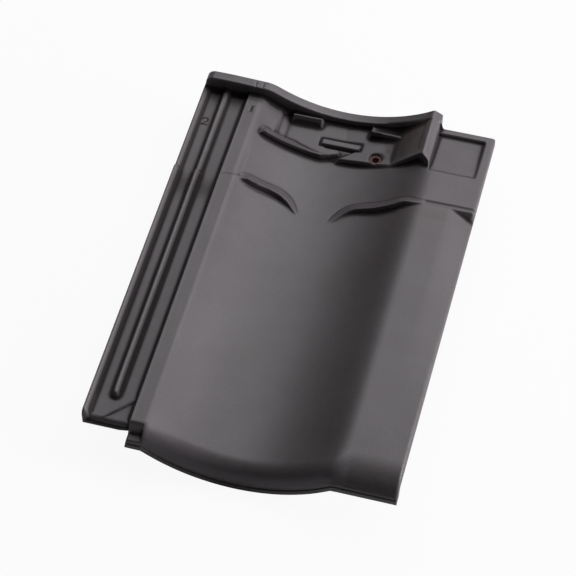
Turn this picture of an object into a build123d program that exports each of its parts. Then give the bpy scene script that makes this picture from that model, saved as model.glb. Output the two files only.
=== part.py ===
"""Interlocking clay roof tile: a hollow pan with a roll on its right and a side lock on its left.

One piece of fired clay. The tile lies as on a level floor, on its nose and its two hanging nibs,
with the nose towards -Y and the side lock towards -X. Widths are measured from the left edge,
lengths from the nose and heights from the top of the roll.
"""

from build123d import *
from math import radians, sin, sqrt, tan
import os

# Overall sizes
width = 260.0
length = 380.0

# Cover: the strip beside the lock, the hollow and the roll
lock_width = 40.5
strip_drop = 4.3
strip_side_draft = 9.0
hollow_middle = 127.5
hollow_depth = 28.3
hollow_radius = 126.0
hollow_left_round = 8.0
hollow_right_round = 30.0
clay_thickness = 11.0
strip_thickness = 10.0
flap_width = 39.0
flap_thickness = 6.5
flap_edge_round = 2.5
strip_edge_round = 1.2

# Nose, a lip that turns down at the front
nose_drop = 15.3
nose_thickness = 6.5
nose_lip = 8.0
nose_round = 15.0
nose_slope = 65.0

# Notch in the nose, at the foot of the strip
notch_width = 12.0
notch_depth = 10.0
notch_drop = 16.0

# Head, which falls away under the tile above
head_start = length - 100.0
head_fall = 5.0
head_set_back = 9.0

# Shoulder that tapers off the right edge, up to a step below the head
shoulder_width = 18.0
shoulder_start = 100.0
shoulder_start_drop = 0.5
shoulder_end = length - 98.0
shoulder_end_drop = 6.3

# Side lock: a floor with an outer lip and a middle rib
lock_start = 14.0
lock_floor = 14.5
lock_underside = 22.8
lip_width = 3.4
lip_top = 8.0
middle_rib_place = 18.5
middle_rib_width = 3.5
middle_rib_top = 8.5
middle_rib_start = 37.0
rib_draft = 2.5
low_rib_start = length - 103.0
low_rib_cut = 2.5

# Cover ribs under the roll, which drop into the lock of the next tile
cover_rib_place = width - 34.0
cover_rib_width = 10.0
cover_rib_depth = 5.5
cover_rib_start = 20.0
edge_rib_width = 9.0
edge_rib_depth = 7.3

# Head rib, and the end wall that closes it beside the roll
head_rib_width = 9.5
head_rib_left = 1.2
head_rib_rise = 9.7
head_rib_left_top = 1.9
head_rib_join_round = 20.0
head_rib_end_round = 8.0
end_wall_crest = 204.0
end_wall_foot = 210.0
end_wall_back_top = 6.8
end_wall_front_top = 4.8
end_wall_toe_length = 6.0
end_wall_toe_left = 197.0
end_wall_toe_left_drop = 14.0
crest_width = 2.5

# Platform before the head rib, with two small steps down from the hollow on its left
platform_start = length - 48.7
pocket_left = 72.5
ledge_right = 79.5
ledge_drop = 1.7
pocket_floor = 25.5
floor_rise_start = 135.0
floor_right = 177.0
floor_right_level = 20.0

# Ridge on the left of the platform: sharp at its front, falling to the floor behind it
head_ridge_rise = 6.5
head_ridge_rear = length - 38.5
head_ridge_left = 59.0
head_ridge_right = 129.0
head_ridge_corner = 115.5
head_ridge_end = length - 43.0

# Drain between the ridge and the platform, from the floor down to the hollow
drain_right = 146.0
drain_corner = 134.0
drain_fall = 4.5

# Stacking blocks: middle, top, and how far the top and the foot stand out from the head rib
block_width = 26.5
blocks = ((94.5, 18.0, 5.2, 9.5), (165.5, 15.0, 9.0, 14.5))

# Bar in its moat
bar_length = 35.0
bar_width = 6.5
bar_rise = 1.5
bar_place = (129.0, length - 32.5)
moat_width = 2.0
moat_depth = 1.2

# Nail hole in a sunk rim
nail_hole_diameter = 6.4
nail_hole_rim = 11.4
nail_hole_rim_depth = 3.5
nail_hole_place = (162.5, length - 42.0)

# Panel sunk beside the end wall, deeper towards the head
panel_right = width - 7.5
panel_start = length - 59.0
panel_end = length - 15.0
panel_depth = 3.0
panel_corner = 2.0

# Rain ridges across the hollow: points of the front and of the rear line, from the head's start
rain_ridge_rise = 4.5
left_ridge_front = ((58.0, -5.0), (87.0, -4.8), (102.8, -11.6), (111.0, -17.5))
left_ridge_rear = ((58.0, -5.0), (62.0, 2.5), (78.0, 7.0), (100.0, -0.5), (111.0, -17.5))
right_ridge_front = ((138.0, -18.5), (148.0, -10.0), (160.0, -5.0), (196.0, -3.7), (215.0, 2.5))
right_ridge_rear = ((138.0, -18.5), (152.0, 0.0), (184.0, 6.5), (204.0, 7.5), (215.0, 2.5))

# Hanging nibs, as deep as the nose, so that the tile lies level
nib_width = 30.0
nib_thickness = 16.0
nib_face = length - 24.0
nib_places = (80.0, 176.0)
nib_root = 31.0

# Reach of the blocks that are cut away or joined, past the faces that they meet
margin = 10.0
deep = 100.0

# The tile's own datum: left edge, nose end, top of the roll
X_AXIS, Y_AXIS, Z_AXIS = (1, 0, 0), (0, 1, 0), (0, 0, 1)
left, front = -width / 2, -length / 2
crest_height = hollow_depth + nose_drop + nose_thickness

# Where the hollow's arc meets the strip, the roll and the lock's underside
hollow_centre = (hollow_middle, hollow_radius - hollow_depth)
under_centre = (hollow_middle, hollow_centre[1] - clay_thickness)
hollow_left = hollow_middle - sqrt(hollow_radius**2 - (hollow_centre[1] + strip_drop) ** 2)
hollow_right = hollow_middle + sqrt(hollow_radius**2 - hollow_centre[1] ** 2)
lock_join = hollow_middle - sqrt(hollow_radius**2 - (under_centre[1] + lock_underside) ** 2)
cover_corners = (
    ((lock_width, -strip_drop), strip_edge_round),
    ((hollow_left, -strip_drop), hollow_left_round),
    ((hollow_right, 0), hollow_right_round),
    ((width, 0), flap_edge_round),
)
rib_front = length - head_rib_width


def across(place, drop=0.0):
    """Plane across the tile at a distance from the nose, for sections."""
    return Plane(origin=(left, front + place, crest_height - drop), x_dir=X_AXIS, z_dir=(0, -1, 0))


def beside(place):
    """Plane along the tile at a distance from its left edge, for runs."""
    return Plane(origin=(left + place, front, crest_height), x_dir=Y_AXIS, z_dir=X_AXIS)


def above(height=0.0, place=0.0):
    """Level plane at a height from the top of the roll, for plans from a distance on."""
    return Plane(origin=(left, front + place, crest_height + height), x_dir=X_AXIS, z_dir=Z_AXIS)


def nose_run_line(drop, lip=0.0):
    """Line that a section follows: up out of the nose, level, and down to the head."""
    rise_end = lip + drop / tan(radians(nose_slope))
    turn = beside(0).from_local_coords((rise_end, 0))
    longest_round = 0.99 * drop / sin(radians(nose_slope)) / tan(radians(nose_slope) / 2)
    with BuildLine(beside(0)) as line:
        if lip:
            Line((0, -drop), (lip, -drop))
        Polyline((lip, -drop), (rise_end, 0), (head_start, 0), (length, -head_fall))
        fillet(line.vertices().sort_by_distance(turn)[0], min(nose_round, longest_round))
    return line.line


def fall_at(place):
    """How far the head has fallen at a distance from the nose."""
    return head_fall * (place - head_start) / (length - head_start)


def cover_section(plane, rise=0.0):
    """Section under the cover's top face, or under that face lifted by a rise."""
    with BuildSketch(plane) as section:
        with BuildLine():
            Polyline(
                (lock_width - strip_side_draft, -deep),
                (width, -deep),
                (width, 0),
                (hollow_middle, 0),
                (hollow_middle, -strip_drop),
                (lock_width, -strip_drop),
                close=True,
            )
        make_face()
        with Locations(hollow_centre):
            Circle(hollow_radius, mode=Mode.SUBTRACT)
        for corner, radius in cover_corners:
            fillet(section.vertices().sort_by_distance(corner)[0], radius)
        if rise:
            offset(amount=rise)
    return section.sketch


def cover_block(rise=0.0):
    """The cover's section, carried from the nose to the head."""
    with BuildPart() as block:
        add(cover_section(across(0, nose_drop), rise))
        sweep(path=nose_run_line(nose_drop), normal=Y_AXIS)
    return block.part


# Rain ridges: two low ribs that curve down into the hollow and run out to points
rain_cover = cover_block(rain_ridge_rise)
with BuildPart() as rain_ridges:
    with BuildSketch(above(-deep, head_start)):
        for front_line, rear_line in (
            (left_ridge_front, left_ridge_rear),
            (right_ridge_front, right_ridge_rear),
        ):
            with BuildLine():
                Spline(*front_line)
                Spline(*rear_line)
            make_face()
    extrude(amount=2 * deep)
    add(rain_cover, mode=Mode.INTERSECT)

# Ridge on the left of the platform: the lifted section runs down from its front to the floor
ridge_depth = head_ridge_rear - platform_start
ridge_run = Vector(0, ridge_depth, -head_ridge_rise)
with BuildPart() as ridge_ramp:
    add(cover_section(across(platform_start, fall_at(platform_start)), head_ridge_rise))
    extrude(amount=ridge_run.length, dir=ridge_run)
with BuildPart() as head_ridge:
    with BuildSketch(above(-deep)):
        with BuildLine():
            Polyline(
                (head_ridge_left, platform_start),
                (head_ridge_corner, platform_start),
                (head_ridge_right, head_ridge_end),
                (head_ridge_right, head_ridge_rear),
                (head_ridge_left, head_ridge_rear),
                close=True,
            )
        make_face()
    extrude(amount=2 * deep)
    add(ridge_ramp.part, mode=Mode.INTERSECT)


def end_wall_section(place, top):
    """Section of the end wall, from the platform floor over the crest to the roll."""
    with BuildSketch(across(place)) as section:
        with BuildLine():
            Polyline(
                (floor_right, -deep),
                (end_wall_foot, -deep),
                (end_wall_foot, -head_fall),
                (end_wall_crest + crest_width / 2, top),
                (end_wall_crest - crest_width / 2, top),
                (floor_right, -floor_right_level),
                close=True,
            )
        make_face()
    return section.sketch


# End wall: its crest rises towards the head rib, and its front runs out to a toe on the roll
toe_top = Vector(end_wall_crest, platform_start, end_wall_front_top)
toe_right = Vector(end_wall_foot, platform_start - end_wall_toe_length, -head_fall)
toe_left = Vector(end_wall_toe_left, platform_start, -end_wall_toe_left_drop)
toe_slope = (toe_right - toe_top).cross(toe_left - toe_top)
with BuildPart() as toe:
    add(end_wall_section(platform_start, end_wall_front_top))
    extrude(amount=end_wall_toe_length, dir=(0, -1, 0))
    split(bisect_by=Plane(origin=above().from_local_coords(toe_top), z_dir=toe_slope), keep=Keep.TOP)
with BuildPart() as end_wall:
    add(end_wall_section(platform_start, end_wall_front_top))
    add(end_wall_section(length, end_wall_back_top))
    loft()
    add(toe.part)

# Platform floor, and the air above it between the ridge and the head rib
floor_line = (
    (pocket_left, -pocket_floor + ledge_drop),
    (ledge_right, -pocket_floor + ledge_drop),
    (ledge_right, -pocket_floor),
    (floor_rise_start, -pocket_floor),
    (floor_right, -floor_right_level),
)
with BuildPart() as platform:
    with BuildSketch(across(length)):
        with BuildLine():
            Polyline(*floor_line, (floor_right, -deep), (pocket_left, -deep), close=True)
        make_face()
    extrude(amount=length - platform_start)
with BuildPart() as pocket_air:
    with BuildSketch(across(rib_front)):
        with BuildLine():
            Polyline(*floor_line, (floor_right, margin), (pocket_left, margin), close=True)
        make_face()
    extrude(amount=rib_front - head_ridge_rear)

# Air in the drain, over a floor that runs down from the platform to the hollow
with BuildPart() as drain_air:
    with BuildSketch(above(-deep)):
        with BuildLine():
            Polyline(
                (head_ridge_corner, platform_start),
                (head_ridge_right, head_ridge_end),
                (head_ridge_right, head_ridge_rear),
                (drain_right, head_ridge_rear),
                (drain_corner, platform_start),
                close=True,
            )
        make_face()
    extrude(amount=deep)
    with BuildSketch(beside(head_ridge_corner)):
        with BuildLine():
            Polyline(
                (platform_start, -pocket_floor - drain_fall),
                (head_ridge_rear, -pocket_floor),
                (head_ridge_rear, 0),
                (platform_start, 0),
                close=True,
            )
        make_face()
    extrude(amount=drain_right - head_ridge_corner, mode=Mode.INTERSECT)

# Air over the sunk panel
with BuildPart() as panel_air:
    with BuildSketch(above(-deep)) as panel_plan:
        with Locations((end_wall_foot, panel_start)):
            Rectangle(panel_right - end_wall_foot, panel_end - panel_start, align=Align.MIN)
        fillet(panel_plan.vertices(), panel_corner)
    extrude(amount=deep + margin)
    with BuildSketch(beside(end_wall_foot)):
        with BuildLine():
            Polyline(
                (panel_start, -fall_at(panel_start)),
                (panel_end, -fall_at(panel_end) - panel_depth),
                (panel_end, margin),
                (panel_start, margin),
                close=True,
            )
        make_face()
    extrude(amount=panel_right - end_wall_foot, mode=Mode.INTERSECT)

# Air over the shoulder
with BuildPart() as shoulder_air:
    for place, drop in ((shoulder_start, shoulder_start_drop), (shoulder_end, shoulder_end_drop)):
        with BuildSketch(across(place)):
            with BuildLine():
                Polyline(
                    (width - shoulder_width, 0),
                    (width + margin, -drop * (1 + margin / shoulder_width)),
                    (width + margin, margin),
                    (width - shoulder_width, margin),
                    close=True,
                )
            make_face()
    loft()

with BuildPart() as roof_tile:
    add(cover_block())
    add(platform.part)
    add(pocket_air.part, mode=Mode.SUBTRACT)
    add(rain_ridges.part)
    add(head_ridge.part)
    add(end_wall.part)
    add(drain_air.part, mode=Mode.SUBTRACT)
    add(shoulder_air.part, mode=Mode.SUBTRACT)

    # Head rib follows the hollow, and runs level over the lock
    with BuildSketch(across(length)) as head_rib:
        with BuildLine():
            Polyline(
                (head_rib_left, -deep),
                (end_wall_foot, -deep),
                (end_wall_foot, -lock_floor),
                (end_wall_crest, end_wall_back_top),
                (hollow_middle, end_wall_back_top),
                (hollow_middle, head_rib_left_top),
                (head_rib_left, head_rib_left_top),
                close=True,
            )
        make_face()
        with Locations((hollow_middle, hollow_centre[1] + head_rib_rise)):
            Circle(hollow_radius, mode=Mode.SUBTRACT)
        for corner, radius in ((head_rib_left, head_rib_end_round), (hollow_left, head_rib_join_round)):
            fillet(head_rib.vertices().sort_by_distance((corner, head_rib_left_top))[0], radius)
    extrude(amount=head_rib_width)

    # Head edge of the roll stands back from the head rib
    with BuildSketch(above(-deep)):
        with Locations((end_wall_foot, length - head_set_back)):
            Rectangle(flap_width * 2, head_set_back * 2, align=Align.MIN)
    extrude(amount=2 * deep, mode=Mode.SUBTRACT)

    # Underside of the pan, and of the flap that covers the next tile's lock
    pan_drop = nose_drop + nose_thickness - clay_thickness
    with BuildSketch(across(0, pan_drop)):
        with BuildLine():
            Polyline(
                (-margin, -2 * deep),
                (width - flap_width, -2 * deep),
                (width - flap_width, -clay_thickness),
                (hollow_middle, -clay_thickness),
                (hollow_middle, -strip_drop - strip_thickness),
                (-margin, -strip_drop - strip_thickness),
                close=True,
            )
        make_face()
        with Locations(under_centre):
            Circle(hollow_radius, mode=Mode.SUBTRACT)
    sweep(path=nose_run_line(pan_drop, nose_lip), normal=Y_AXIS, mode=Mode.SUBTRACT)
    flap_drop = nose_drop + nose_thickness - flap_thickness
    with BuildSketch(across(0, flap_drop)):
        with Locations((width - flap_width, -flap_thickness)):
            Rectangle(flap_width + margin, 2 * deep, align=(Align.MIN, Align.MAX))
    sweep(path=nose_run_line(flap_drop, nose_lip), normal=Y_AXIS, mode=Mode.SUBTRACT)

    # Notch in the nose at the foot of the strip
    with BuildSketch(above(-notch_drop)):
        with Locations((lock_width - strip_side_draft, 0)):
            Rectangle(notch_width + strip_side_draft, notch_depth, align=Align.MIN)
    extrude(amount=notch_drop, mode=Mode.SUBTRACT)

    # Side lock runs straight: floor, lip and middle rib
    with BuildSketch(across(length)):
        with BuildLine():
            Polyline(
                (0, -lock_underside),
                (lock_join, -lock_underside),
                (lock_join, -lock_floor),
                (lip_width + rib_draft, -lock_floor),
                (lip_width, -lip_top),
                (0, -lip_top),
                close=True,
            )
        make_face()
    extrude(amount=length - lock_start)
    with BuildSketch(across(length)):
        with BuildLine():
            Polyline(
                (middle_rib_place - rib_draft / 2, -lock_floor),
                (middle_rib_place, -middle_rib_top),
                (middle_rib_place + middle_rib_width, -middle_rib_top),
                (middle_rib_place + middle_rib_width + rib_draft, -lock_floor),
                close=True,
            )
        make_face()
    extrude(amount=length - middle_rib_start)

    # Lip and middle rib are lower where the tile above covers them
    with BuildSketch(across(rib_front)):
        with Locations((0, -lip_top - low_rib_cut)):
            Rectangle(middle_rib_place + middle_rib_width + rib_draft, margin, align=Align.MIN)
    extrude(amount=rib_front - low_rib_start, mode=Mode.SUBTRACT)

    # Cover ribs under the flap
    with BuildSketch(across(cover_rib_start)):
        with Locations((cover_rib_place, -flap_thickness)):
            Rectangle(cover_rib_width, cover_rib_depth, align=(Align.MIN, Align.MAX))
    extrude(amount=cover_rib_start - head_start)
    with BuildSketch(across(nose_lip)):
        with Locations((width, -flap_thickness)):
            Rectangle(edge_rib_width, edge_rib_depth, align=Align.MAX)
    extrude(amount=nose_lip - length + head_set_back)

    # Hanging nibs
    with BuildSketch(above(-crest_height)):
        for place in nib_places:
            with Locations((place, nib_face)):
                Rectangle(nib_width, nib_thickness, align=(Align.CENTER, Align.MIN))
    extrude(amount=crest_height - nib_root)

    # Stacking blocks against the head rib
    for middle, top, top_reach, foot_reach in blocks:
        with BuildSketch(beside(middle - block_width / 2)):
            with BuildLine():
                Polyline(
                    (rib_front, -pocket_floor),
                    (rib_front - foot_reach, -pocket_floor),
                    (rib_front - top_reach, -top),
                    (rib_front, -top),
                    close=True,
                )
            make_face()
        extrude(amount=block_width)

    # Bar in its moat
    with BuildSketch(above(-pocket_floor)):
        with Locations(bar_place):
            SlotOverall(bar_length + 2 * moat_width, bar_width + 2 * moat_width)
    extrude(amount=-moat_depth, mode=Mode.SUBTRACT)
    with BuildSketch(above(-pocket_floor - moat_depth)):
        with Locations(bar_place):
            Rectangle(bar_length, bar_width)
    extrude(amount=moat_depth + bar_rise)

    # Sunk panel
    add(panel_air.part, mode=Mode.SUBTRACT)

    # Nail hole in its sunk rim
    with Locations(above(-floor_right_level).location * Location((*nail_hole_place, 0))):
        CounterBoreHole(nail_hole_diameter / 2, nail_hole_rim / 2, nail_hole_rim_depth)

roof_tile.part.label = "roof_tile"
os.makedirs("parts", exist_ok=True)
export_step(roof_tile.part, "parts/roof_tile.step")
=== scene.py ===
from math import cos, pi, radians, sin, tan

import bmesh
import bpy
import numpy as np
from mathutils import Matrix, Vector


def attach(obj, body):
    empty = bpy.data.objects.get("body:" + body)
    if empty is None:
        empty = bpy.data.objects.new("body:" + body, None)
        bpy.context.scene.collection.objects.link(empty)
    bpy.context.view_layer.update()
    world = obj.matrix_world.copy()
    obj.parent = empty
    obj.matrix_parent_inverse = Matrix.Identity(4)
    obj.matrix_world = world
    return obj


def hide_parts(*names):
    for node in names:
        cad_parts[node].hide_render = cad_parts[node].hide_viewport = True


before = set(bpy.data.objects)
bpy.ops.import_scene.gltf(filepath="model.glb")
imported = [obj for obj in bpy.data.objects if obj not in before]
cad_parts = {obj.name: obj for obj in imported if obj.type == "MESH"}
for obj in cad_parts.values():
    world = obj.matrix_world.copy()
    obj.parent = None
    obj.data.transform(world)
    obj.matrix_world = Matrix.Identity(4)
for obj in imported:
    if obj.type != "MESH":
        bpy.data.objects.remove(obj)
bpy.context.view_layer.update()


# Face of the tile. One piece of clay, pressed between two plaster moulds: a strip, a hollow and a roll,
# with a side lock on the left and ribs, blocks and a pocket at the head. It is worked out as a height
# over the mould's plan, in mm: x from the left edge, y from the nose, z from the top of the roll.
tile_width, tile_length, crest_height = 260.0, 380.0, 50.1
lock_side, notch_side, wall_foot, flap_start = 39.9, 52.5, 211.5, 221.0
lock_front, head_start, cover_step, rib_front, head_edge = 14.0, 280.0, 282.5, 370.5, 371.0
hollow_middle, hollow_radius, hollow_depth = 127.5, 126.0, 28.3
plan_step, plan_margin = 0.25, 3.0

x_places = np.arange(-plan_margin, tile_width + plan_margin + plan_step, plan_step)
y_places = np.arange(-plan_margin, tile_length + plan_margin + plan_step, plan_step)
X, Y = np.meshgrid(x_places, y_places)


def ease(t):
    """Soft step from 0 to 1."""
    t = np.clip(t, 0.0, 1.0)
    return t * t * (3.0 - 2.0 * t)


def bump(distance, width):
    """Round bump that is 1 at no distance and fades over a width."""
    return np.exp(-(distance / width) ** 2)


def soft_min(a, b, blend):
    """Lower of two heights, with a rounded meeting."""
    near = np.clip(blend - np.abs(a - b), 0.0, None) / blend
    return np.minimum(a, b) - near * near * blend / 4.0


def bend(points, at):
    """Smooth line through points, read at places along its first axis."""
    px, py = np.array(points, float).T
    slope = np.gradient(py, px)
    i = np.clip(np.searchsorted(px, at) - 1, 0, len(px) - 2)
    run = px[i + 1] - px[i]
    t = np.clip((at - px[i]) / run, 0.0, 1.0)
    return (py[i] * (1 + 2 * t) * (1 - t) ** 2 + slope[i] * run * t * (1 - t) ** 2
            + py[i + 1] * t * t * (3 - 2 * t) - slope[i + 1] * run * t * t * (1 - t))


def hollow_arc(lift):
    """Arc of the hollow, or of the same arc lifted."""
    half = np.clip(hollow_radius ** 2 - (X - hollow_middle) ** 2, 0.0, None)
    return hollow_radius - hollow_depth + lift - np.sqrt(half)


def nose_fall(y, drop, slope=65.0, turn=15.0):
    """Nose's profile: steep at its front and rounded into the level."""
    tangent = turn * tan(radians(slope / 2))
    run = drop / tan(radians(slope)) + tangent
    steep = -drop + y * tan(radians(slope))
    curve = -turn + np.sqrt(np.clip(turn ** 2 - (run - y) ** 2, 0.0, None))
    return np.where(y < run - turn * sin(radians(slope)), steep, np.where(y < run, curve, 0.0))


# Cover: strip, hollow and roll, with the nose's fall in front and the head's fall at the rear
strip_height, strip_round, roll_round = -4.3, 2.0, 8.7
nose_drop, roll_nose_stretch, head_slope, head_round = 15.3, 0.65, 0.05, 8
cover = np.where(X < hollow_middle, soft_min(strip_height, hollow_arc(0), strip_round),
                 soft_min(0.0, hollow_arc(0), roll_round))
cover = cover + nose_fall(Y / (1.0 + roll_nose_stretch * ease((X - 200) / 20)), nose_drop)
cover -= (1 - ease(Y / 60)) * ease((X - 205) / 15)
past_head = Y - head_start
into_head = np.clip(past_head + head_round, 0, None)
cover -= head_slope * np.where(past_head > head_round, past_head, into_head ** 2 / (4 * head_round))

# Shoulder that falls off the right edge, up to a step; behind the step a shallow drip groove
shoulder_fall, drip_depth, drip_rear = 6.0, 0.7, 286.6
shoulder = ease((X - 237) / 30) * 1.37
step_lean = 0.3 + 5.2 * np.clip((X - 242) / 16, 0, 1)
cover -= (shoulder_fall * np.clip((Y - 92) / 190, 0, 1) * shoulder
          * np.clip((cover_step - Y) / step_lean, 0, 1))
drip = drip_depth * np.clip((Y - cover_step) / 4.2, 0, 1) * (1 - ease((Y - drip_rear) / 0.9))
cover -= drip * ease((X - 214) / 5)

# Step across the strip where the tile above begins to cover it
strip_step = 273.7 + (X - 41) * 0.206
step_fades = (1 - ease((Y - 300) / 30)) * (1 - ease((X - 56) / 3))
cover -= 0.7 * ease((Y - strip_step) / 0.7) * step_fades

# Rain ridges: wedges with a steep front, curved down into the hollow, as their front line, rear line,
# heights and the extra depth of the crease behind their tip
ridge_taper, crease_depth = 0.92, 0.42
rain_ridges = (
    (((57, 275.4), (59.2, 275.0), (67.1, 274.4), (78.8, 274.6), (84.5, 274.8), (89.5, 274.5), (93.7, 273.7),
      (96.9, 272.5), (101.4, 270.4), (105, 267.9), (109.9, 264.0), (111.6, 262.4)),
     ((57, 282.5), (61.7, 283.7), (66.3, 284.7), (73.1, 284.8), (80.9, 285.0), (85.7, 285.2), (90.7, 284.8),
      (95.0, 283.7), (98.2, 282.4), (101.9, 279.8), (105.9, 275.8), (109.1, 270.8), (111.6, 264.4)),
     ((57, 0.0), (59, 0.4), (62.3, 3.4), (65.5, 6.3), (71, 6.8), (83, 6.8), (92, 6.0), (99, 4.8), (105, 2.2),
      (111.6, 0.0)),
     0.0),
    (((138, 262.0), (143.7, 265.9), (148.6, 270.8), (156.1, 275.2), (168.1, 276.1), (180.1, 276.2),
      (190, 277.5), (198, 279.4), (203, 279.8), (209.8, 280.4), (217, 282.4)),
     ((138, 264.0), (141.2, 271.4), (144.9, 277.8), (150.5, 283.6), (156.9, 286.2), (165.4, 287.3),
      (177.3, 288.1), (190.6, 289.6), (195.5, 290.2), (200.7, 289.6), (208.1, 287.4), (217, 286.4)),
     ((138, 0.0), (144, 1.2), (149.6, 2.6), (156.8, 4.9), (166.7, 6.1), (178.5, 7.2), (190, 7.6), (197, 7.0),
      (202, 5.6), (209, 2.6), (217, 0.0)),
     0.3),
)
for front_line, rear_line, heights, tip_depth in rain_ridges:
    start, end = front_line[0][0], front_line[-1][0]
    front, rear = bend(front_line, X), bend(rear_line, X)
    back = (Y - front) / np.maximum(rear - front, 0.4)
    top = np.interp(X, *np.array(heights).T) * (1 - ridge_taper * np.clip(back, 0, 1) ** 0.9)
    rise = top * np.clip(Y - front, 0, 1) * (1 - np.clip((Y - rear) / 0.5, 0, 1))
    crease = (crease_depth + tip_depth * (1 - ease((X - 150) / 14))) * bump(Y - rear, 0.6)
    crease = crease * ease(back) * ease((X - start) / 2) * ease((end - X) / 3)
    cover += np.where((X > start) & (X < end), rise - crease, 0.0)

# Platform and pocket before the head rib, with the end wall on the right and its toe in front
platform_start, pocket_left, pocket_rear, wall_start = 331.3, 68.8, 341.5, 177.0
wall_low, wall_rise, wall_crest, wall_slope = 4.8, 1.95, 205.0, 0.56
floor_ends = -19.6
floor = np.interp(X, (pocket_left, 70.6, 73.4, 79.0, 80.6, 132, 168, wall_start),
                  (-14, -19.2, -21.9, -24.9, -25.5, -25.6, -21.7, floor_ends))
wall_top = wall_low + wall_rise * np.clip((Y - platform_start) / 48, 0, 1)
wall = np.where(X < 203.6, floor_ends + (wall_top - floor_ends) * (X - wall_start) / 26.6,
                wall_top - wall_slope * np.clip(X - wall_crest, 0, None))
platform = np.where(X < wall_start, floor, np.where(X < wall_foot - 0.3, wall, -90))
raised = np.clip((Y - platform_start + 0.9) / 2.0, 0, 1) * (X > 76)
toe = wall_low + (112.8 * (X - 204) + 181.4 * (Y - platform_start)) / 42
face = cover + (np.maximum(cover, platform) - cover) * raised
at_toe = (X > 190) & (Y <= platform_start + 2)
face = np.where(at_toe, np.maximum(face, np.minimum(platform, toe)), face)
in_pocket = (X > pocket_left) & (X < wall_start) & (Y > pocket_rear) & (Y < rib_front)
face = np.where(in_pocket, np.minimum(floor, cover + 90 * (X > 76)), face)

# Ridge on the left of the platform, which falls to the floor behind it
ridge_turn, ridge_tip, ridge_height = 115.5, 129.6, 6.5
ridge_front = platform_start + np.clip(X - ridge_turn, 0, None) * 0.42
ridge_lift = ridge_height / np.sqrt(1 - np.clip((X - hollow_middle) / hollow_radius, -0.9, 0.9) ** 2)
ridge_lift = ridge_lift * ease((X - 58.6) / 8) * np.clip((ridge_tip - X) / 8.5, 0, 1)
ridge_back = np.clip((Y - ridge_front) / (pocket_rear - ridge_front), 0, 1)
on_ridge = (X > 57) & (X < ridge_tip) & (Y > ridge_front) & (Y < pocket_rear)
face = np.where(on_ridge, np.maximum(face, cover + ridge_lift * (1 - 0.95 * ridge_back)), face)

# Drain between that ridge and the platform
drain_top, drain_fall, drain_rear = -25.5, 5.4, 346.5
drain_floor = drain_top - drain_fall * np.clip((drain_rear - Y) / 15, 0, 1)
drain_side = 130.6 + (Y - platform_start - 1.5) * 1.3
in_drain = (Y > platform_start - 1) & (Y < drain_rear) & (X > ridge_turn) & (X < drain_side)
face = np.where(in_drain & ~on_ridge, np.minimum(face, np.maximum(drain_floor, cover)), face)

# Stacking blocks, each by its middle, its top, and where its front ends and starts
blocks = ((95.2, -17.4, 364.9, 361.0), (165.5, -14.6, 360.6, 358.2))
for middle, top, top_front, foot in blocks:
    block = np.interp(Y, (foot, top_front, top_front + 0.9, top_front + 4.6),
                      (-25.5, top, top - 0.1, top - 4.4))
    face = np.where((np.abs(X - middle) < 13.4) & (Y > foot), np.maximum(face, block), face)

# Bar in its moat, and the sunk rim of the nail hole
bar_x, bar_y = np.abs(X - 129.3), np.abs(Y - 347.6)
moat_width, moat_depth, bar_top = 2.1, 1.3, -24.0
from_bar = np.hypot(np.clip(bar_x - 17.2, 0, None), np.clip(bar_y - 3.2, 0, None))
face = np.where(from_bar < moat_width, face - moat_depth, face)
face = np.where((bar_x < 17.0) & (bar_y < 3.1), bar_top, face)
nail_x, nail_y, rim_radius, rim_floor = 162.5, 338.0, 5.7, -24.8
from_nail = np.hypot(X - nail_x, Y - nail_y)
face = np.where(from_nail < rim_radius, np.minimum(face, rim_floor), face)

# Panel sunk beside the end wall
panel_x, panel_y, panel_corner = np.abs(X - 231) - 19.6, np.abs(Y - 343) - 20.0, 2
from_panel = np.hypot(np.clip(panel_x, 0, None), np.clip(panel_y, 0, None))
panel_depth = 0.6 + 2.4 * np.clip((Y - 321) / 44, 0, 1)
face = np.where((from_panel < panel_corner) & (X > wall_foot), face - panel_depth, face)

# Head rib, which follows the hollow and runs level over the lock, with two nicks across it
rib_lift, rib_round, rib_corner = 9.7, 3.9, 8
rib_level = np.interp(X, (9, 25, 36, 46, 57), (2.0, 2.0, 1.5, 1.1, 0.7))
rib_top = soft_min(rib_level, hollow_arc(rib_lift), rib_round)
rib_top = np.where(X > hollow_middle, hollow_arc(rib_lift), rib_top)
rib_top = np.minimum(rib_top, wall_low + wall_rise - np.clip(X - wall_crest, 0, None) * wall_slope)
rib_top -= rib_corner - np.sqrt(np.clip(rib_corner ** 2 - np.clip(9.2 - X, 0, rib_corner) ** 2, 0, None))
for nick_x in (46.3, 52.7):
    nick = bump(X - nick_x + (Y - 374) * 0.06, 0.4)
    rib_top -= 0.7 * nick * ease((Y - 370) / 1.5) * ease((378.5 - Y) / 1.5)
rib = np.clip((Y - rib_front + 0.3) / 0.8, 0, 1)

# Notch in the nose at the foot of the strip
notch = np.interp(Y, (0, 8, 12.5), (-16.2, -15.8, -4.5))
face = np.where(X < notch_side, np.minimum(face, notch), face)

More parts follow.
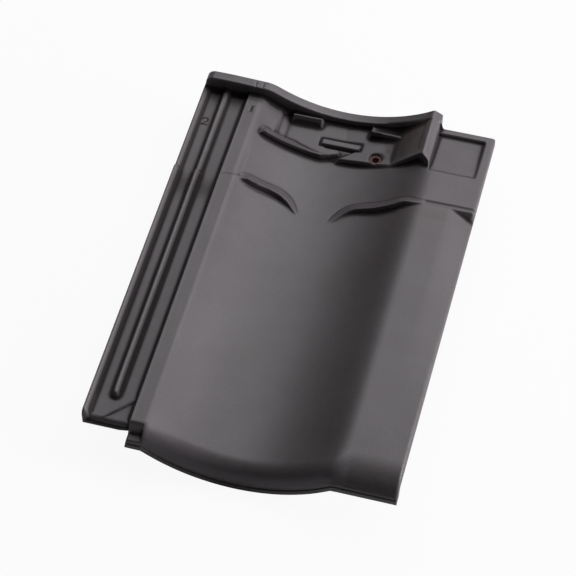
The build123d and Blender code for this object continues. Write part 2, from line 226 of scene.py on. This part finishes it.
# Side lock: a floor with an outer lip and a middle rib, both lower under the tile above, and a sunk
# corner at its front
lock_depth, lip_height, middle_height, lock_turn = 14.5, 6.5, 6.0, 4.2
rib_step, under_next, rib_start, lock_corner = 276, 2.5, 36, 0.9
low = under_next * ease((Y - rib_step) / 2)
lip = np.interp(X, (2.2, 5.8), (1.0, 0.0)) * (lip_height - low)
middle_rib = np.interp(X, (17.4, 18.6, 21.0, 24.4), (0, 1, 1, 0)) * (middle_height - low)
middle_rib = middle_rib * ease((Y - rib_start) / 3.5)
to_turn = np.clip(lock_front + lock_turn - Y, 0, lock_turn)
lock_floor = -lock_depth - (lock_turn - np.sqrt(np.clip(lock_turn ** 2 - to_turn ** 2, 0, None)))
sunk = lock_corner * ease((X - 16.4 - (Y - 17.0) * 0.954) / 0.7) * (X > 15)
lock = lock_floor + lip * ease((Y - 12.6) / 1.6) + middle_rib - sunk
side = np.clip((X - 39.6) / 0.6, 0, 1)
face = lock * (1 - side) + face * side
face = face * (1 - rib) + np.where(X < 1.2, face, rib_top) * rib
face = np.where((X > wall_foot + 2) & (Y > rib_front - 2), cover, face)

# Numeral of the mould in the outer channel, and a plain cross on the strip, both scratched in
numeral = ((7.9, 337.2), (8.6, 338.7), (10.3, 339.2), (12.0, 338.6), (12.7, 336.9), (12.0, 335.3),
           (7.9, 331.3), (13.0, 331.3))
cross = (((46.4, 350.3), (48.5, 353.6), (46.5, 357.2)), ((48.7, 350.3), (46.5, 353.6), (48.6, 357.2)))
scratch = np.full(X.shape, 9.0)
for stroke in (numeral, *cross):
    for (x0, y0), (x1, y1) in zip(stroke, stroke[1:]):
        t = ((X - x0) * (x1 - x0) + (Y - y0) * (y1 - y0)) / ((x1 - x0) ** 2 + (y1 - y0) ** 2)
        t = np.clip(t, 0, 1)
        scratch = np.minimum(scratch, np.hypot(X - x0 - t * (x1 - x0), Y - y0 - t * (y1 - y0)))
scratched = 1 - ease((scratch - 0.25) / 0.5)
face -= 0.35 * scratched


def rounded(height, spread):
    """Heights with every edge and crease rounded as the engobe leaves it."""
    reach = int(4 * spread / plan_step)
    weights = np.exp(-0.5 * (np.arange(-reach, reach + 1) * plan_step / spread) ** 2)
    weights /= weights.sum()
    for axis in (0, 1):
        padded = np.pad(height, [(reach, reach) if a == axis else (0, 0) for a in (0, 1)], "edge")
        size = height.shape[axis]
        height = sum(w * np.take(padded, range(k, k + size), axis) for k, w in enumerate(weights))
    return height


# Edges rounded by the engobe, more so on the inside of the end wall
in_wall = ease((X - 160) / 8) * (1 - ease((X - 198) / 4)) * ease((Y - 336) / 4) * (1 - ease((Y - 371.5) / 1.5))
face = rounded(face, 0.3)
face = face * (1 - in_wall) + rounded(face, 1.1) * in_wall

# Painted shade in creases and hollows, partly slip settled there, from 0 to 1, and painted highlight on edges,
# partly wear, from 0 to -1
creases = (rounded(face, 1.3) - face) / 0.5 + 0.6 * (rounded(face, 2.6) - face) / 1.2
# Less painted shade before the head rib over the lock, in the nose's notch and behind the rain ridges
creases *= 1 - 0.6 * ease((Y - 362) / 5) * (X < 60)
in_notch = (X > lock_side) & (X < notch_side + 2) & (Y < 15)
creases = np.where(in_notch, 0.15 * creases, creases)
behind_ridges = (Y > 260) & (Y < 292) & (X > 57) & (X < 217)
creases = np.where(behind_ridges, np.minimum(creases, 0.45), creases)
# Painted shade on the steep walls of the lock, by their slope
in_lock = (X > 2.6) & (X < 38.6) & (Y > lock_front + 2) & (Y < rib_front)
steep = np.abs(np.gradient(face, plan_step, axis=1))
creases = np.clip(creases, -1, 1) + np.where(in_lock, np.clip(steep * 0.4, 0, 0.7), 0.0)
# A darker band across the lock's channels, about 262 mm from the nose
creases += np.where(in_lock & (X > 5.5), 0.26 * bump(Y - 262, 11), 0.0)

# Painted shade as dark lines along the strip's edge, the middle rib and the outer edge
painted_edge_shade = sum(bump(X - x, width) for x, width in ((40.5, 0.75), (18.0, 0.6), (0.1, 0.5)))
painted_edge_shade = np.clip(painted_edge_shade * ease((Y - 13) / 3) * (1 - ease(Y - rib_front + 1)), 0, 1)
painted_edge_shade = painted_edge_shade * np.where(X < 30, ease((Y - rib_start) / 2) + (X < 3), 1.0)
painted_edge_shade = np.clip(painted_edge_shade, 0, 1)
creases = np.clip(creases, -1, 1) * (1 - painted_edge_shade) + 1.15 * painted_edge_shade

# Painted shade on the blocks' fronts, at the steps of the lock's ribs, in the corners inside the end wall and
# in the scratched lines
for middle, top, top_front, foot in blocks:
    creases += (np.abs(X - middle) < 12.6) & (Y > foot - 0.6) & (Y < top_front - 0.4)
on_lock_rib = ((X > 2) & (X < 6.4)) | ((X > 17.2) & (X < 24.6))
creases += 0.8 * bump(Y - rib_step - 0.4, 0.7) * on_lock_rib
creases += 0.5 * in_wall * (bump(X - 200.6, 2.2) + bump(X - 178, 3.2) + bump(Y - 368, 2.6))
creases += scratched * np.where(X < 20, 0.22, 0.6)

# Darker brown patches: on the platform, inside the end wall, on the roll and in the lock
brown_patches = bump(X - 172, 4.5) * ease((Y - 342) / 5) * ease((370 - Y) / 4)
brown_patches += 0.75 * ease((X - 180) / 4) * ease((203 - X) / 3) * ease((Y - 335) / 6) * ease((371 - Y) / 2)
brown_patches += 0.8 * ((X > 176) & (X < 205)) * (bump(X - 201, 2.5) + bump(Y - 367, 3.0)) * (Y > 333)
brown_patches += 0.45 * np.exp(-((X - 226) / 15) ** 2 - ((Y - 272) / 5) ** 2)
brown_patches += 0.35 * (X < lock_side) * bump(Y - 262, 14)


# Underside, which lies on the battens: the same hollow, two cover ribs under the roll that drop into the
# next tile's lock, and two nibs that hang on the batten. It is pressed with the face, by the lower mould.
hollow_clay, roll_clay, strip_under, lock_under = 11, 11.0, -14.3, -22.8
under_drop, flap_height = 10.8, -6.5
past_nose, head_falls = np.clip(Y - 8, 0, None), head_slope * np.clip(past_head, 0, None)
under = np.where(X < hollow_middle, np.minimum(strip_under, hollow_arc(-hollow_clay)),
                 np.minimum(-roll_clay, hollow_arc(-hollow_clay)))
under = under + (nose_fall(past_nose, under_drop) - head_falls)
under = np.where((X < 65.2) & (Y > lock_front), np.minimum(under, lock_under), under)
under = np.where((X < lock_side) & (Y < 22), -24.2, under)
flap = flap_height + nose_fall(past_nose, nose_drop) - head_falls
flap = np.where((X > 226) & (X < 236) & (Y > 20) & (Y < 280), np.minimum(flap, -12.0), flap)
flap = np.where((X > 251) & (Y > 8), np.minimum(flap, -13.8), flap)
under = np.where(X > flap_start, flap, under)
for nib_middle in (80.0, 176.0):
    on_nib = (np.abs(X - nib_middle) < 15) & (Y > 356) & (Y < 372)
    under = np.where(on_nib, -crest_height, under)
under = np.maximum(rounded(under, 0.3), -crest_height)


# Body of the tile: face and underside joined by upright edges into one closed skin of clay. Its lines run
# close together where the mould has detail and follow the front of the rain ridges.
def lines(*runs):
    """Places of the lines for runs of (start, end, spacing)."""
    places = [runs[0][0]]
    for start, end, spacing in runs:
        count = max(1, round((end - start) / spacing))
        places += [start + (end - start) * k / count for k in range(1, count + 1)]
    return np.array(places)


across = lines((0, 0.9, 0.3), (0.9, 8, 0.5), (8, 13.5, 0.5), (13.5, 16.5, 1.5), (16.5, 25.5, 0.5),
               (25.5, 37, 1.6), (37, 39.2, 0.7), (39.2, lock_side, 0.35), (lock_side, 41.4, 0.25),
               (41.4, 45.5, 1.1), (45.5, 47.1, 0.27), (47.1, 49.1, 0.5), (49.1, 51, 1.0), (51, 52, 0.5),
               (52, 53.4, 0.28), (53.4, 57, 0.72), (57, 65, 0.8), (65, 95, 0.7), (95, 161, 0.85),
               (161, 191, 0.75), (191, 204, 0.75), (204, 206, 0.4), (206, 210.6, 0.8),
               (210.6, wall_foot, 0.3), (wall_foot, 212.6, 0.4), (212.6, flap_start, 1.2),
               (flap_start, 226, 1.25), (226, 236, 1.7), (236, 251, 1.25), (251, 257, 1.0),
               (257, 258.8, 0.45), (258.8, tile_width, 0.2))
along = lines((0, 1.5, 0.25), (1.5, 8, 0.6), (8, lock_front, 0.6), (lock_front, 20, 0.5), (20, 40, 1.2),
              (40, 258, 6.4), (258, 262, 1), (262, 280, 0.5), (280, 290, 0.6), (290, 320, 2.5),
              (320, 323, 0.6), (323, 329.5, 1.2), (329.5, 343.5, 0.45), (343.5, 356, 0.8), (356, 368.5, 0.7),
              (368.5, head_edge, 0.35), (head_edge, 372, 0.33), (372, 378.5, 1.0), (378.5, tile_length, 0.25))
ridge_line = ((0, 276.5), (30, 276.5), (41, 273.7), (52, 276.0), (64.2, 274.6), (76.2, 275.6), (87.4, 275.2),
              (95.6, 272.3), (102.8, 268.4), (111, 262.2), (118, 258.8), (126, 257.6), (134, 259.4),
              (138, 261.6), (147.8, 269.9), (158.8, 274.6), (170.7, 275.7), (182.8, 275.6), (194.6, 276.3),
              (206.3, 277.6), (212.5, 280.6), (222, 282.6), (260, 282.6))
GX, GY = np.meshgrid(across, along)
follow = ease((GY - 222) / 42) * (1 - ease((GY - 289) / 30))
GY = GY + (bend(ridge_line, GX) - 275.0) * follow


def read(height, x, y):
    """Height or mask at places between the points of the plan."""
    i = np.clip((x - x_places[0]) / plan_step, 0, len(x_places) - 1.001)
    j = np.clip((y - y_places[0]) / plan_step, 0, len(y_places) - 1.001)
    i0, j0 = i.astype(int), j.astype(int)
    fi, fj = i - i0, j - j0
    return ((height[j0, i0] * (1 - fi) + height[j0, i0 + 1] * fi) * (1 - fj)
            + (height[j0 + 1, i0] * (1 - fi) + height[j0 + 1, i0 + 1] * fi) * fj)


def edge_drop(distance, radius):
    """How far a rounded edge has fallen at a distance inside it."""
    reach = np.clip(radius - distance, 0, radius)
    return radius - np.sqrt(radius ** 2 - reach ** 2)


strip_edge, nose_rim = 40.1, 4.8
GZ = read(face, GX, GY)
GZ -= np.where((GX > strip_edge) & (GY < rib_front), edge_drop(GX - strip_edge, 1.2), 0.0)
GZ -= 1.2 * bump(GX - 40.25, 0.3) * (GY > lock_front) * (GY < rib_front)
GZ -= edge_drop(GX, 0.8) + edge_drop(tile_length - GY, 1.3) + edge_drop(tile_width - GX, 2.5)
nose_ledge = read(under, GX, 0.0 * GX) + nose_rim + 9.0 * np.clip(GY - 1.0, 0, None)
GZ = np.where(GX >= lock_side, np.minimum(GZ, nose_ledge), GZ)
GZ -= np.where(GX >= lock_side, edge_drop(GY, 0.5), 0.0)
GZ -= np.where(GX >= wall_foot, edge_drop(np.abs(head_edge - GY), 0.9), 0.0)
crease_there = np.clip(read(creases, GX, GY), -1.0, 1.0)
brown_patches_there = np.clip(read(brown_patches, GX, GY), 0.0, 1.0)


def inside(x, y):
    """Whether a place is in the tile's plan."""
    return ~((x < lock_side) & (y < lock_front)) & ~((x > wall_foot) & (y > head_edge))


def nearest(places, wanted):
    """Numbers of the lines nearest to some places."""
    return sorted({int(np.argmin(np.abs(places - w))) for w in wanted})


under_x = nearest(across, (0, 0.6, 8, 20, 30, lock_side, 42, 52, 57, 61, 64.2, 65, 70, 76, 82, 88, 94, 95, 102,
                           110, 118, 127, 136, 144, 152, 160, 161, 167, 173, 179, 185, 190.1, 191, 196, 203,
                           206.5, wall_foot, 215.5, 221, 222.3, 226, 227.7, 234.3, 236, 243, 249.8, 251, 256,
                           258.8, 260))
under_y = nearest(along, (0, 1, 5, 8, 10, 12, lock_front, 15, 18, 20, 21.2, 26, 40, 110, 180, 258, 280, 280.6,
                          300, 320, 335, 350, 355.2, 356, 356.7, 364, 370.3, head_edge, 372, 373, 379.2, 380))
tile_mesh = bmesh.new()
crease_layer = tile_mesh.verts.layers.float.new("crease")
brown_patch_layer = tile_mesh.verts.layers.float.new("brown_patches")
corners_made = {}


def point(x, y, z):
    """Corner of the mesh, in metres in the tile's frame."""
    return tile_mesh.verts.new(((x - tile_width / 2) / 1000, (y - tile_length / 2) / 1000,
                                (z + crest_height) / 1000))


def top_point(i, j):
    """Corner on the face at line i across and line j along."""
    if ("top", i, j) not in corners_made:
        corner = point(GX[j, i], GY[j, i], GZ[j, i])
        corner[crease_layer], corner[brown_patch_layer] = float(crease_there[j, i]), float(brown_patches_there[j, i])
        corners_made["top", i, j] = corner
    return corners_made["top", i, j]


def under_point(i, j):
    """Corner on the underside. The side under the strip stands out a little towards its foot."""
    if ("under", i, j) not in corners_made:
        x, y = across[i], along[j]
        z = float(read(under, np.array(x), np.array(y)))
        draft = 1.1 * float(1 - ease((y - 9) / 5)) if abs(x - lock_side) < 0.01 else 0.0
        corners_made["under", i, j] = point(x - draft, y, z)
    return corners_made["under", i, j]


for j in range(len(along) - 1):
    for i in range(len(across) - 1):
        if inside((across[i] + across[i + 1]) / 2, (along[j] + along[j + 1]) / 2):
            tile_mesh.faces.new((top_point(i, j), top_point(i + 1, j),
                                 top_point(i + 1, j + 1), top_point(i, j + 1)))
filled = set()
for a in range(len(under_x) - 1):
    for b in range(len(under_y) - 1):
        i0, i1, j0, j1 = under_x[a], under_x[a + 1], under_y[b], under_y[b + 1]
        if inside((across[i0] + across[i1]) / 2, (along[j0] + along[j1]) / 2):
            filled.add((a, b))
            tile_mesh.faces.new((under_point(i0, j0), under_point(i0, j1),
                                 under_point(i1, j1), under_point(i1, j0)))
for a, b in filled:
    i0, i1, j0, j1 = under_x[a], under_x[a + 1], under_y[b], under_y[b + 1]
    edges = (((a - 1, b), [(i0, j) for j in range(j0, j1 + 1)]),
             ((a + 1, b), [(i1, j) for j in range(j1, j0 - 1, -1)]),
             ((a, b - 1), [(i, j0) for i in range(i1, i0 - 1, -1)]),
             ((a, b + 1), [(i, j1) for i in range(i0, i1 + 1)]))
    for neighbour, run in edges:
        if neighbour not in filled:
            upper = [top_point(*p) for p in run]
            tile_mesh.faces.new([under_point(*run[-1]), under_point(*run[0])] + upper)
bmesh.ops.recalc_face_normals(tile_mesh, faces=tile_mesh.faces)
tile_data = bpy.data.meshes.new("tile")
tile_mesh.to_mesh(tile_data)
tile_mesh.free()
tile = bpy.data.objects.new("tile", tile_data)
bpy.context.scene.collection.objects.link(tile)


# Nail hole, punched through the platform of the soft clay with a turned pin, which leaves a small flare
# at its top. It takes the nail or screw that holds the tile to the batten.
pin = bmesh.new()
pin_profile = ((0.0, -45.0), (3.2, -45.0), (3.2, -24.6), (3.5, -23.9), (4.2, -23.3), (4.2, -10.0), (0.0, -10.0))
sides = 48
rings = []
for radius, height in pin_profile:
    turn = range(sides) if radius else range(1)
    rings.append([pin.verts.new(((nail_x - tile_width / 2 + radius * cos(2 * pi * k / sides)) / 1000,
                                 (nail_y - tile_length / 2 + radius * sin(2 * pi * k / sides)) / 1000,
                                 (height + crest_height) / 1000)) for k in turn])
for lower, upper in zip(rings, rings[1:]):
    for k in range(sides):
        corners = [lower[k % len(lower)], lower[(k + 1) % len(lower)],
                   upper[(k + 1) % len(upper)], upper[k % len(upper)]]
        pin.faces.new(list(dict.fromkeys(corners)))
bmesh.ops.recalc_face_normals(pin, faces=pin.faces)
pin_data = bpy.data.meshes.new("pin")
pin.to_mesh(pin_data)
pin.free()
pin_tool = bpy.data.objects.new("pin", pin_data)
bpy.context.scene.collection.objects.link(pin_tool)
punch = tile.modifiers.new("punch", "BOOLEAN")
punch.operation, punch.object, punch.solver = "DIFFERENCE", pin_tool, "EXACT"
with_hole = bpy.data.meshes.new_from_object(tile.evaluated_get(bpy.context.evaluated_depsgraph_get()))
tile.modifiers.clear()
tile.data = with_hole
with_hole.name = "tile"
bpy.data.objects.remove(pin_tool)
with_hole.polygons.foreach_set("use_smooth", [True] * len(with_hole.polygons))
with_hole.set_sharp_from_angle(angle=radians(55))


# Engobe: a thin dark clay slip, sprayed on before firing. It fires matt with a faint violet-brown cast,
# clouded where the coat is thicker, and shows the red body where it is rubbed off round the nail hole.
# Painted shade, partly settled slip, darkens its creases and shaded faces, a painted highlight, partly
# wear, lightens its edges, and it has darker brown patches.
def node(tree, kind, inputs=None, **settings):
    """Adds a shader node with its settings, plain inputs and links."""
    made = tree.nodes.new(kind)
    for name, value in settings.items():
        setattr(made, name, value)
    for name, value in (inputs or {}).items():
        if isinstance(value, bpy.types.NodeSocket):
            tree.links.new(value, made.inputs[name])
        else:
            made.inputs[name].default_value = value
    return made


def colour_mix(tree, share, under_colour, over_colour):
    """Adds a mix of two colours by a mask, each a colour or a link, and gives its result."""
    made = node(tree, "ShaderNodeMix", {"Factor": share}, data_type="RGBA")
    for socket, colour in ((made.inputs[6], under_colour), (made.inputs[7], over_colour)):
        if isinstance(colour, bpy.types.NodeSocket):
            tree.links.new(colour, socket)
        else:
            socket.default_value = (*colour, 1)
    return made.outputs[2]


thin_coat, thick_coat = (0.079, 0.070, 0.074), (0.092, 0.083, 0.088)
patch_brown, dark_slip_and_shade, worn_and_lit_edge, red_body = ((0.055, 0.036, 0.029), (0.014, 0.010, 0.010),
                                               (0.135, 0.124, 0.130), (0.170, 0.080, 0.074))
engobe = bpy.data.materials.new("engobed_clay")
engobe.use_nodes = True
tree = engobe.node_tree
tree.nodes.clear()
place = node(tree, "ShaderNodeTexCoord").outputs["Object"]
clouds = node(tree, "ShaderNodeTexNoise", {"Vector": place, "Scale": 22.0, "Detail": 4.0, "Roughness": 0.55})
specks = node(tree, "ShaderNodeTexNoise", {"Vector": place, "Scale": 420.0, "Detail": 3.0, "Roughness": 0.6})
grain = node(tree, "ShaderNodeTexNoise", {"Vector": place, "Scale": 1500.0, "Detail": 2.0, "Roughness": 0.5})
patches = node(tree, "ShaderNodeTexNoise", {"Vector": place, "Scale": 160.0, "Detail": 3.0, "Roughness": 0.6})
crease_mask = node(tree, "ShaderNodeAttribute", attribute_name="crease").outputs["Fac"]
brown_patch_mask = node(tree, "ShaderNodeAttribute", attribute_name="brown_patches").outputs["Fac"]

thick = node(tree, "ShaderNodeMapRange", {"Value": clouds.outputs["Fac"], "From Min": 0.35, "From Max": 0.65})
coat = colour_mix(tree, thick.outputs["Result"], thin_coat, thick_coat)
speck_light = node(tree, "ShaderNodeMapRange", {"Value": specks.outputs["Fac"], "From Min": 0.3,
                                                "From Max": 0.7, "To Min": 0.93, "To Max": 1.07})
speckled = node(tree, "ShaderNodeVectorMath", {0: coat, "Scale": speck_light.outputs["Result"]},
                operation="SCALE")
patchy = node(tree, "ShaderNodeMapRange", {"Value": patches.outputs["Fac"], "From Min": 0.2, "From Max": 0.6})
browned = node(tree, "ShaderNodeMath", {0: brown_patch_mask, 1: patchy.outputs["Result"]}, operation="MULTIPLY")
with_brown_patches = colour_mix(tree, browned.outputs[0], speckled.outputs["Vector"], patch_brown)
# Painted shade, partly settled slip, in the creases and on the shaded faces
slip_and_shade = node(tree, "ShaderNodeMapRange", {"Value": crease_mask, "From Min": 0.06, "From Max": 0.7,
                                            "To Max": 0.85})
with_creases = colour_mix(tree, slip_and_shade.outputs["Result"], with_brown_patches, dark_slip_and_shade)
# Painted highlight on the edges, partly wear of the engobe
wear_and_highlight = node(tree, "ShaderNodeMapRange", {"Value": crease_mask, "From Min": -0.15, "From Max": -0.9,
                                         "To Max": 0.28})
with_wear_and_highlight = colour_mix(tree, wear_and_highlight.outputs["Result"], with_creases, worn_and_lit_edge)

bare_start, bare_end, bare_fringe = 0.0062, 0.0054, 0.0016
in_plan = node(tree, "ShaderNodeVectorMath", {0: place, 1: (1, 1, 0)}, operation="MULTIPLY")
nail_place = ((nail_x - tile_width / 2) / 1000, (nail_y - tile_length / 2) / 1000, 0)
nail_distance = node(tree, "ShaderNodeVectorMath", {0: in_plan.outputs["Vector"], 1: nail_place},
                     operation="DISTANCE")
fringe = node(tree, "ShaderNodeMath", {0: specks.outputs["Fac"], 1: bare_fringe}, operation="MULTIPLY")
fringed = node(tree, "ShaderNodeMath", {0: nail_distance.outputs["Value"], 1: fringe.outputs[0]},
               operation="ADD")
bare = node(tree, "ShaderNodeMapRange", {"Value": fringed.outputs[0], "From Min": bare_start,
                                         "From Max": bare_end})
clay_colour = colour_mix(tree, bare.outputs["Result"], with_wear_and_highlight, red_body)

grit = node(tree, "ShaderNodeMapRange", {"Value": specks.outputs["Fac"], "From Min": 0.3, "From Max": 0.7,
                                         "To Min": 0.39, "To Max": 0.46})
duller = node(tree, "ShaderNodeMath", {0: slip_and_shade.outputs["Result"], 1: 0.6, 2: grit.outputs["Result"]},
              operation="MULTIPLY_ADD", use_clamp=True)
fine_grain = node(tree, "ShaderNodeBump", {"Height": grain.outputs["Fac"], "Strength": 0.25,
                                           "Distance": 0.0004})
surface = node(tree, "ShaderNodeBsdfPrincipled", {"Base Color": clay_colour, "Roughness": duller.outputs[0],
                                                  "Normal": fine_grain.outputs["Normal"],
                                                  "Specular IOR Level": 0.5})
node(tree, "ShaderNodeOutputMaterial", {"Surface": surface.outputs["BSDF"]})
with_hole.materials.clear()
with_hole.materials.append(engobe)
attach(tile, "root")
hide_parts("roof_tile")


# Studio: a sheet of white paper that shows its white to the camera and keeps the tile's shadow, and a
# white surround that lights the tile hardly at all.
floor_mesh = bmesh.new()
bmesh.ops.create_grid(floor_mesh, x_segments=8, y_segments=8, size=6.0)
floor_data = bpy.data.meshes.new("studio_floor")
floor_mesh.to_mesh(floor_data)
floor_mesh.free()
studio_floor = bpy.data.objects.new("studio_floor", floor_data)
bpy.context.scene.collection.objects.link(studio_floor)
studio_floor.location = (0, 0, -0.0002)
paper = bpy.data.materials.new("white_paper")
paper.use_nodes = True
tree = paper.node_tree
tree.nodes.clear()
rays = node(tree, "ShaderNodeLightPath")
matt = node(tree, "ShaderNodeBsdfDiffuse", {"Color": (0.78, 0.78, 0.78, 1)})
glow = node(tree, "ShaderNodeEmission", {"Color": (1, 1, 1, 1), "Strength": 1.0})
share = node(tree, "ShaderNodeMath", {0: rays.outputs["Is Camera Ray"], 1: 0.93}, operation="MULTIPLY")
mixed = node(tree, "ShaderNodeMixShader", {0: share.outputs[0], 1: matt.outputs[0], 2: glow.outputs[0]})
node(tree, "ShaderNodeOutputMaterial", {"Surface": mixed.outputs[0]})
floor_data.materials.append(paper)

world = bpy.data.worlds.new("studio")
bpy.context.scene.world = world
world.use_nodes = True
tree = world.node_tree
tree.nodes.clear()
rays = node(tree, "ShaderNodeLightPath")
seen = node(tree, "ShaderNodeMath", {0: rays.outputs["Is Camera Ray"], 1: rays.outputs["Is Transmission Ray"]},
            operation="MAXIMUM")
dim = node(tree, "ShaderNodeBackground", {"Color": (1, 1, 1, 1), "Strength": 0.02})
white = node(tree, "ShaderNodeBackground", {"Color": (1, 1, 1, 1), "Strength": 1.0})
mixed = node(tree, "ShaderNodeMixShader", {0: seen.outputs[0], 1: dim.outputs[0], 2: white.outputs[0]})
node(tree, "ShaderNodeOutputWorld", {"Surface": mixed.outputs[0]})


# Lamps: five soft square lamps of one size, all aimed at the tile. The strongest stands low on the right,
# and the others fill in from behind and above.
lamp_size, lamp_colour = 0.9, (0.985, 0.97, 1.0)
for name, position, power in (("right", (2.154, 0.380, 0.711), 52.5),
                              ("right_rear", (1.150, 1.150, 1.626), 12.0),
                              ("rear", (0.282, 1.602, 1.626), 10.6),
                              ("left_rear", (-0.687, 1.474, 1.626), 6.0),
                              ("above", (-0.269, 0.739, 2.161), 8.3)):
    lamp_data = bpy.data.lights.new(name, "AREA")
    lamp_data.shape, lamp_data.size = "SQUARE", lamp_size
    lamp_data.energy, lamp_data.color = power, lamp_colour
    lamp = bpy.data.objects.new(name, lamp_data)
    lamp.location = position
    lamp.rotation_euler = (-Vector(position)).to_track_quat("-Z", "Y").to_euler()
    bpy.context.scene.collection.objects.link(lamp)


# Camera: the photograph's view, from the front right and above, with a long lens.
azimuth, elevation, roll, distance = radians(14.63), radians(53.06), radians(0.08), 2.01438
looked_at = Vector((-0.00091, -0.02271, 0.0501))
sight = Vector((-sin(azimuth) * cos(elevation), cos(azimuth) * cos(elevation), -sin(elevation)))
camera_data = bpy.data.cameras.new("camera")
camera_data.lens, camera_data.sensor_width = 154.01, 36.0
camera = bpy.data.objects.new("camera", camera_data)
bpy.context.scene.collection.objects.link(camera)
camera.matrix_world = (Matrix.Translation(looked_at - sight * distance) @ Matrix.Rotation(azimuth, 4, "Z")
                       @ Matrix.Rotation(radians(90) - elevation, 4, "X") @ Matrix.Rotation(roll, 4, "Z"))
bpy.context.scene.camera = camera
bpy.context.scene.view_settings.view_transform = "Standard"
